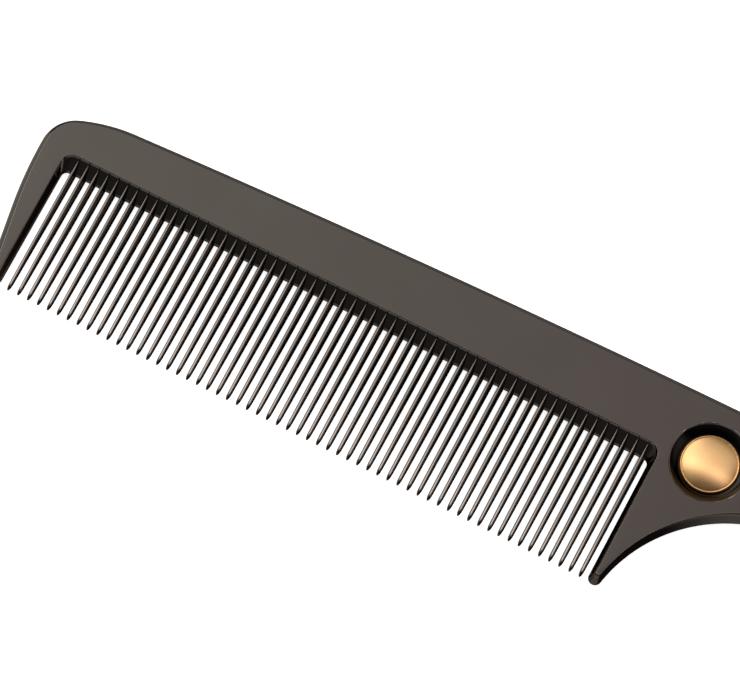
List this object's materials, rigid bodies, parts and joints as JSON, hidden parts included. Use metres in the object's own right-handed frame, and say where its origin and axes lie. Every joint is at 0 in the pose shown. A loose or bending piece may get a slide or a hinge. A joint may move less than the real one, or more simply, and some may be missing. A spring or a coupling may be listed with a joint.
{
  "type": "hair comb",
  "caption": "Fine-toothed tail comb in glossy dark moulded plastic, with a guard at each end of the teeth and a gold domed stud in a round well where the handle starts.",
  "frame": {"origin": "under the middle of the comb's bounding box, on the plane of the rear face it lies on", "axes": "+X along the comb from the end guard to the tail, -Y the way the teeth point, +Z out of the front face"},
  "size_m": [0.225, 0.0346, 0.0036],
  "materials": {
    "moulding": "gloss black-chrome plating on moulded plastic",
    "cap": "satin gold",
    "post": "plain drawn wire"
  },
  "bodies": {
    "root": {"spine": "moulding", "end_guard": "moulding", "heel_guard": "moulding", "handle": "moulding", "tail": "moulding", "teeth": "moulding", "front_cap": "cap", "back_cap": "cap", "stud_post": "post"}
  },
  "joints": []
}
